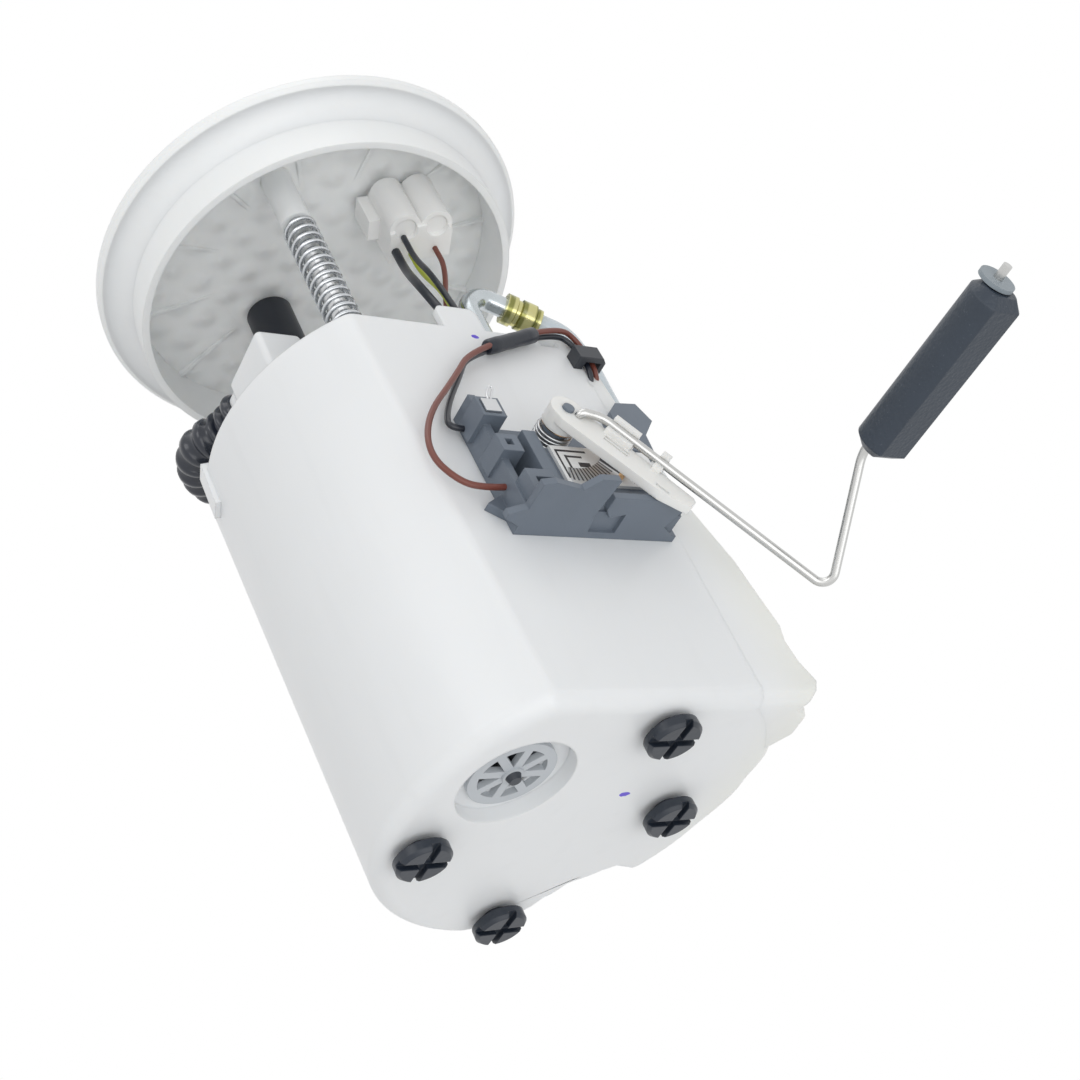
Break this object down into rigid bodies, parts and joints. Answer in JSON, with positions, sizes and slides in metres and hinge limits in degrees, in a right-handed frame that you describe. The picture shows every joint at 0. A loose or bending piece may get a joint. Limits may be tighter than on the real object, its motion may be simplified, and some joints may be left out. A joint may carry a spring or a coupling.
{
  "type": "fuel pump module",
  "caption": "In-tank fuel pump module: a tapered pot with pump and level sender on sprung guide rods under a round flange with plug and hose fittings.",
  "frame": {"origin": "centre of the flange's underside, on the module's axis", "axes": "+Z out of the tank along the axis, -Y out of the pot's flat wall on the level sender's side, +X to the jet pump's side"},
  "size_m": [0.13, 0.2094, 0.2301],
  "materials": {
    "white_nylon": "satin",
    "natural_plastic": "satin",
    "blue_grey_plastic": "satin",
    "clear_grey_plastic": "translucent satin",
    "black_hose": "satin",
    "black_rubber": "matt",
    "black_insulation": "satin",
    "brown_insulation": "satin",
    "yellow_insulation": "satin",
    "feed_nylon": "translucent satin",
    "bright_steel": "polished",
    "zinc_steel": "zinc plated",
    "gold_plate": "yellow passivated",
    "ceramic": "fired ceramic",
    "silver_print": "printed metal",
    "copper_strip": "sprung strip",
    "foam": "closed cell foam",
    "pump_steel": "satin",
    "magnet": "sintered",
    "strainer_mesh": "woven nylon"
  },
  "bodies": {
    "reservoir": {"reservoir_pot": "white_nylon", "pot_cover": "white_nylon", "rubber_foot_left": "black_rubber", "rubber_foot_rear": "black_rubber", "rubber_foot_front": "black_rubber", "rubber_foot_right": "black_rubber", "inlet_valve_ring": "natural_plastic", "umbrella_valve": "black_rubber", "pump_casing": "pump_steel", "pump_inlet_cap": "natural_plastic", "pump_outlet_cap": "natural_plastic", "pump_magnet_ring": "magnet", "pump_damper": "black_rubber", "inlet_strainer": "strainer_mesh", "jet_pump_body": "white_nylon", "jet_feed_elbow": "zinc_steel", "elbow_ferrule": "gold_plate", "jet_feed_tube": "feed_nylon", "sender_bracket": "blue_grey_plastic", "resistor_card": "ceramic", "card_comb": "silver_print", "sender_terminal": "zinc_steel", "pivot_spring": "zinc_steel", "sender_lead_black": "black_insulation", "sender_lead_brown": "brown_insulation", "lead_sleeve": "black_rubber", "lead_hook": "clear_grey_plastic", "outlet_hose": "black_hose", "guide_spring_front": "zinc_steel", "guide_spring_rear": "zinc_steel", "harness_grommet": "black_rubber", "harness_black": "black_insulation", "harness_ground": "black_insulation", "harness_yellow": "yellow_insulation", "harness_brown": "brown_insulation"},
    "lid": {"flange": "white_nylon", "guide_rod_front": "zinc_steel", "guide_rod_rear": "zinc_steel", "rod_clip_front": "zinc_steel", "rod_clip_rear": "zinc_steel", "connector_housing": "natural_plastic", "socket_pins": "silver_print", "hose_cuff": "black_hose"},
    "pump_rotor": {"pump_armature": "magnet", "pump_impeller": "natural_plastic"},
    "float_arm": {"arm_carrier": "natural_plastic", "wiper": "copper_strip", "float_wire": "bright_steel", "float_washer": "natural_plastic"},
    "float": {"float_body": "foam"}
  },
  "joints": [
    {"name": "lid_slide", "type": "slide", "parent": "reservoir", "child": "lid", "axis": [0, 0, 1], "range_m": [-0.02, 0], "stiffness_N_per_m": 300, "springref_m": 0.05, "deforming": ["guide_spring_front", "guide_spring_rear", "outlet_hose", "harness_black", "harness_ground", "harness_yellow", "harness_brown"]},
    {"name": "pump_spin", "type": "hinge", "parent": "reservoir", "child": "pump_rotor", "pos_m": [0, 0, -0.15], "axis": [0, 0, 1], "continuous": true},
    {"name": "arm_swing", "type": "hinge", "parent": "reservoir", "child": "float_arm", "pos_m": [0.0005, -0.056, -0.1243], "axis": [0, -1, 0], "range_deg": [0, 34]},
    {"name": "float_spin", "type": "hinge", "parent": "float_arm", "child": "float", "pos_m": [0.048, -0.117, -0.1662], "axis": [0, -1, 0], "continuous": true}
  ]
}
